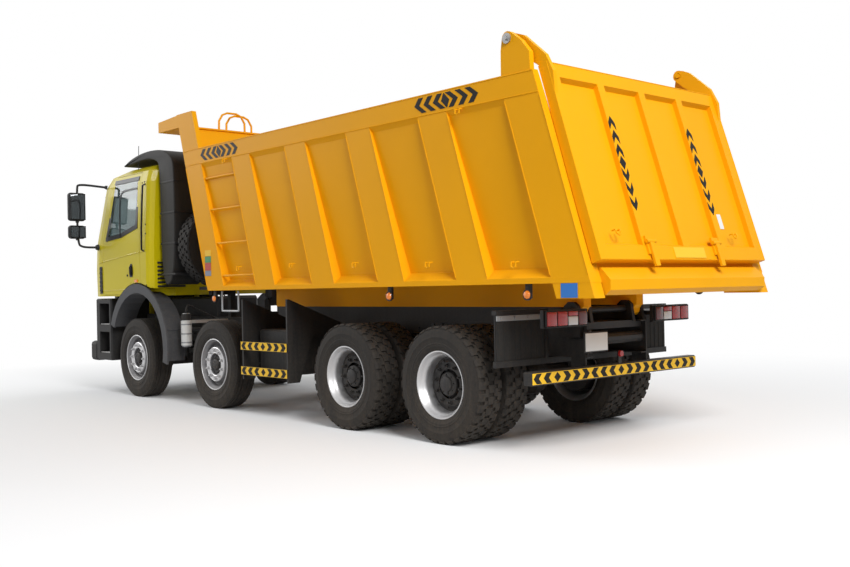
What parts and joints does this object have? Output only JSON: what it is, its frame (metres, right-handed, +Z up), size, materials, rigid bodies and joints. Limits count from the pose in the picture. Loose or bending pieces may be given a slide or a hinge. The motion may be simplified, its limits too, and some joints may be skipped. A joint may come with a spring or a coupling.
{
  "type": "dump truck",
  "caption": "Four-axle dump truck with a forward-control cab, a ribbed tipping body on a telescopic front hoist, and a top-hinged tailgate.",
  "frame": {"origin": "on the ground midway between the bumper's front and the tail sill's rear, on the centre plane", "axes": "+X forward, +Y to the truck's left, +Z up"},
  "size_m": [9.36, 3.27, 3.6919],
  "materials": {
    "body_paint": "gloss paint, worn",
    "cab_paint": "gloss paint",
    "frame_black": "satin paint, dusty",
    "plastic": "moulded",
    "fender_grey": "moulded",
    "rubber": "matt",
    "steel": "dull",
    "chrome": "polished",
    "glass": "clear",
    "trim_grey": "grained trim",
    "white": "gloss"
  },
  "bodies": {
    "chassis": {"chassis_frame": "frame_black", "axle_1": "frame_black", "axle_2": "frame_black", "axle_3": "frame_black", "axle_4": "frame_black", "tandem_springs": "frame_black", "engine": "steel", "propshaft": "frame_black", "fuel_tank": "steel", "battery_box": "plastic", "air_dryer": "white", "silencer": "steel", "front_bumper": "plastic", "wheel_arch_left": "fender_grey", "wheel_arch_right": "fender_grey", "rear_fenders": "frame_black", "underrun_bar": "body_paint", "spare_wheel": "rubber", "spare_carrier": "frame_black"},
    "cab": {"cab_shell": "cab_paint", "cab_grille": "plastic", "windscreen": "glass", "dashboard": "trim_grey", "seats": "trim_grey", "air_intake": "plastic", "mirrors_left": "plastic", "mirrors_right": "plastic"},
    "door_left": {"door_left": "cab_paint", "door_glass_left": "glass"},
    "door_right": {"door_right": "cab_paint", "door_glass_right": "glass"},
    "steering_wheel": {"steering_wheel": "plastic"},
    "bed": {"bed_floor": "body_paint", "bed_side_left": "body_paint", "bed_side_right": "body_paint", "bed_front_wall": "body_paint"},
    "tailgate": {"tailgate": "body_paint"},
    "hoist_barrel": {"hoist_barrel": "steel"},
    "hoist_stage_1": {"hoist_stage_1": "chrome"},
    "hoist_stage_2": {"hoist_stage_2": "chrome"},
    "hoist_stage_3": {"hoist_stage_3": "chrome"},
    "hoist_stage_4": {"hoist_stage_4": "chrome"},
    "knuckle_1_left": {"knuckle_1_left": "frame_black"},
    "knuckle_1_right": {"knuckle_1_right": "frame_black"},
    "knuckle_2_left": {"knuckle_2_left": "frame_black"},
    "knuckle_2_right": {"knuckle_2_right": "frame_black"},
    "wheel_1_left": {"wheel_1_left": "rubber"},
    "wheel_1_right": {"wheel_1_right": "rubber"},
    "wheel_2_left": {"wheel_2_left": "rubber"},
    "wheel_2_right": {"wheel_2_right": "rubber"},
    "wheel_3_left": {"wheel_3_left": "rubber"},
    "wheel_3_right": {"wheel_3_right": "rubber"},
    "wheel_4_left": {"wheel_4_left": "rubber"},
    "wheel_4_right": {"wheel_4_right": "rubber"}
  },
  "joints": [
    {"name": "bed_tip", "type": "hinge", "parent": "chassis", "child": "bed", "pos_m": [-3.74, 0, 1.17], "axis": [0, -1, 0], "range_deg": [0, 48]},
    {"name": "tailgate_swing", "type": "hinge", "parent": "bed", "child": "tailgate", "pos_m": [-3.79, 0, 3.415], "axis": [0, 1, 0], "range_deg": [0, 60]},
    {"name": "cab_tilt", "type": "hinge", "parent": "chassis", "child": "cab", "pos_m": [4.38, 0, 1.05], "axis": [0, 1, 0], "range_deg": [0, 50]},
    {"name": "door_left_swing", "type": "hinge", "parent": "cab", "child": "door_left", "pos_m": [4.14, 1.216, 2.08], "axis": [0, 0, -1], "range_deg": [0, 70]},
    {"name": "door_right_swing", "type": "hinge", "parent": "cab", "child": "door_right", "pos_m": [4.14, -1.216, 2.08], "axis": [0, 0, 1], "range_deg": [0, 70]},
    {"name": "knuckle_1_left_steer", "type": "hinge", "parent": "chassis", "child": "knuckle_1_left", "pos_m": [3.26, 0.79, 0.52687], "axis": [0, 0, 1], "range_deg": [-38, 38]},
    {"name": "knuckle_1_right_steer", "type": "hinge", "parent": "chassis", "child": "knuckle_1_right", "pos_m": [3.26, -0.79, 0.52687], "axis": [0, 0, 1], "range_deg": [-38, 38]},
    {"name": "knuckle_2_left_steer", "type": "hinge", "parent": "chassis", "child": "knuckle_2_left", "pos_m": [1.21, 0.79, 0.52687], "axis": [0, 0, 1], "range_deg": [-24, 24]},
    {"name": "knuckle_2_right_steer", "type": "hinge", "parent": "chassis", "child": "knuckle_2_right", "pos_m": [1.21, -0.79, 0.52687], "axis": [0, 0, 1], "range_deg": [-24, 24]},
    {"name": "wheel_1_left_spin", "type": "hinge", "parent": "knuckle_1_left", "child": "wheel_1_left", "pos_m": [3.26, 1.03, 0.52687], "axis": [0, 1, 0], "continuous": true},
    {"name": "wheel_1_right_spin", "type": "hinge", "parent": "knuckle_1_right", "child": "wheel_1_right", "pos_m": [3.26, -1.03, 0.52687], "axis": [0, 1, 0], "continuous": true},
    {"name": "wheel_2_left_spin", "type": "hinge", "parent": "knuckle_2_left", "child": "wheel_2_left", "pos_m": [1.21, 1.03, 0.52687], "axis": [0, 1, 0], "continuous": true},
    {"name": "wheel_2_right_spin", "type": "hinge", "parent": "knuckle_2_right", "child": "wheel_2_right", "pos_m": [1.21, -1.03, 0.52687], "axis": [0, 1, 0], "continuous": true},
    {"name": "wheel_3_left_spin", "type": "hinge", "parent": "chassis", "child": "wheel_3_left", "pos_m": [-1.46, 0.923, 0.52687], "axis": [0, 1, 0], "continuous": true},
    {"name": "wheel_3_right_spin", "type": "hinge", "parent": "chassis", "child": "wheel_3_right", "pos_m": [-1.46, -0.923, 0.52687], "axis": [0, 1, 0], "continuous": true},
    {"name": "wheel_4_left_spin", "type": "hinge", "parent": "chassis", "child": "wheel_4_left", "pos_m": [-2.84, 0.923, 0.52687], "axis": [0, 1, 0], "continuous": true},
    {"name": "wheel_4_right_spin", "type": "hinge", "parent": "chassis", "child": "wheel_4_right", "pos_m": [-2.84, -0.923, 0.52687], "axis": [0, 1, 0], "continuous": true},
    {"name": "steering_wheel_turn", "type": "hinge", "parent": "cab", "child": "steering_wheel", "pos_m": [3.95, 0.56, 2.08], "axis": [-0.4695, 0, 0.8829], "range_deg": [-500, 500]},
    {"name": "hoist_barrel_swing", "type": "hinge", "parent": "chassis", "child": "hoist_barrel", "pos_m": [1.66, 0, 1.25], "axis": [0, -1, 0], "range_deg": [0, 30.3]},
    {"name": "hoist_stage_1_slide", "type": "slide", "parent": "hoist_barrel", "child": "hoist_stage_1", "axis": [0, 0, 1], "range_m": [0, 1.08]},
    {"name": "hoist_stage_2_slide", "type": "slide", "parent": "hoist_stage_1", "child": "hoist_stage_2", "axis": [0, 0, 1], "range_m": [0, 1.08]},
    {"name": "hoist_stage_3_slide", "type": "slide", "parent": "hoist_stage_2", "child": "hoist_stage_3", "axis": [0, 0, 1], "range_m": [0, 1.08]},
    {"name": "hoist_stage_4_slide", "type": "slide", "parent": "hoist_stage_3", "child": "hoist_stage_4", "axis": [0, 0, 1], "range_m": [0, 1.08]}
  ],
  "couplings": [
    {"joint": "knuckle_1_right_steer", "follows": "knuckle_1_left_steer", "ratio": 1},
    {"joint": "knuckle_2_left_steer", "follows": "knuckle_1_left_steer", "ratio": 0.62},
    {"joint": "knuckle_2_right_steer", "follows": "knuckle_1_left_steer", "ratio": 0.62},
    {"joint": "steering_wheel_turn", "follows": "knuckle_1_left_steer", "ratio": 13},
    {"joint": "hoist_barrel_swing", "follows": "bed_tip", "ratio": 0.63},
    {"joint": "hoist_stage_1_slide", "follows": "bed_tip", "m_per_rad": 1.2862},
    {"joint": "hoist_stage_2_slide", "follows": "bed_tip", "m_per_rad": 1.2862},
    {"joint": "hoist_stage_3_slide", "follows": "bed_tip", "m_per_rad": 1.2862},
    {"joint": "hoist_stage_4_slide", "follows": "bed_tip", "m_per_rad": 1.2862}
  ]
}
